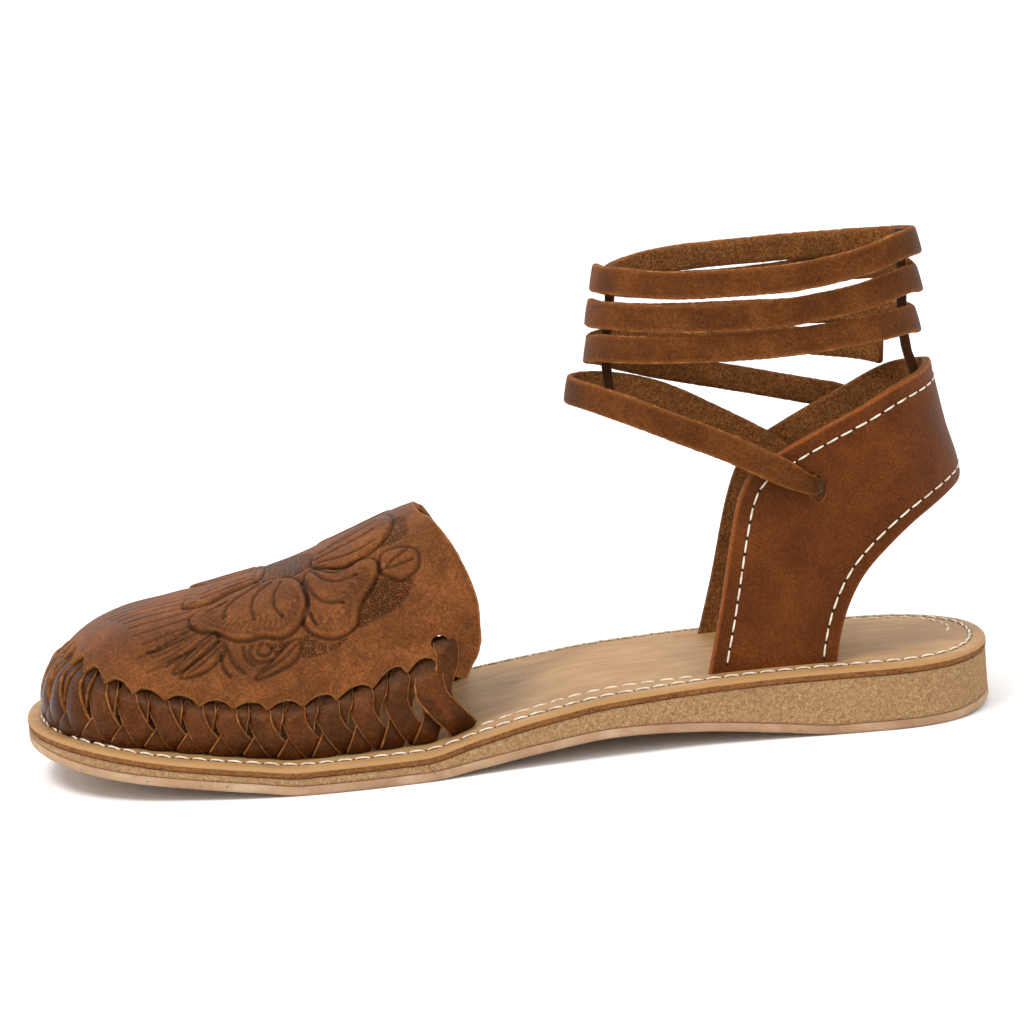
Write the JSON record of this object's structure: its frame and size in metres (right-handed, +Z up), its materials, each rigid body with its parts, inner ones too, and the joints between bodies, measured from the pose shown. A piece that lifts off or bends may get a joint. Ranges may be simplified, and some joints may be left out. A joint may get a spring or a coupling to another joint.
{
  "type": "huarache sandal",
  "caption": "Flat leather sandal with a hollow tooled toe shell, laced edge, stitched heel cuff and a long strap wound round the ankle.",
  "frame": {"origin": "on the floor, on the flat of the outsole under the middle of the heel", "axes": "-X towards the toe, +X towards the heel, -Y towards the outer (little toe) side of this left shoe, +Z up"},
  "size_m": [0.2576, 0.092, 0.1288],
  "materials": {
    "outsole": "pale tan crepe with small pores, matt",
    "midsole": "tan leather board, sanded, matt grain",
    "insole": "natural vegetable tan, smooth, burnished darker at the cut edge",
    "vamp_leather": "tooled brown leather, waxed, low gloss",
    "lacing_leather": "dark brown strips, polished by folding",
    "cuff_leather": "brown leather with fine grain, pale stitching by its edges",
    "strap_leather": "brown leather strip with rough flesh side and pale cut edges",
    "thong_leather": "dark narrow thong, matt",
    "thread": "waxed off-white thread"
  },
  "bodies": {
    "root": {"outsole": "outsole", "midsole": "midsole", "insole": "insole", "vamp": "vamp_leather", "vamp_lacing": "lacing_leather", "heel_cuff": "cuff_leather", "ankle_strap": "strap_leather", "back_keeper": "thong_leather", "front_keeper": "thong_leather"}
  },
  "joints": []
}
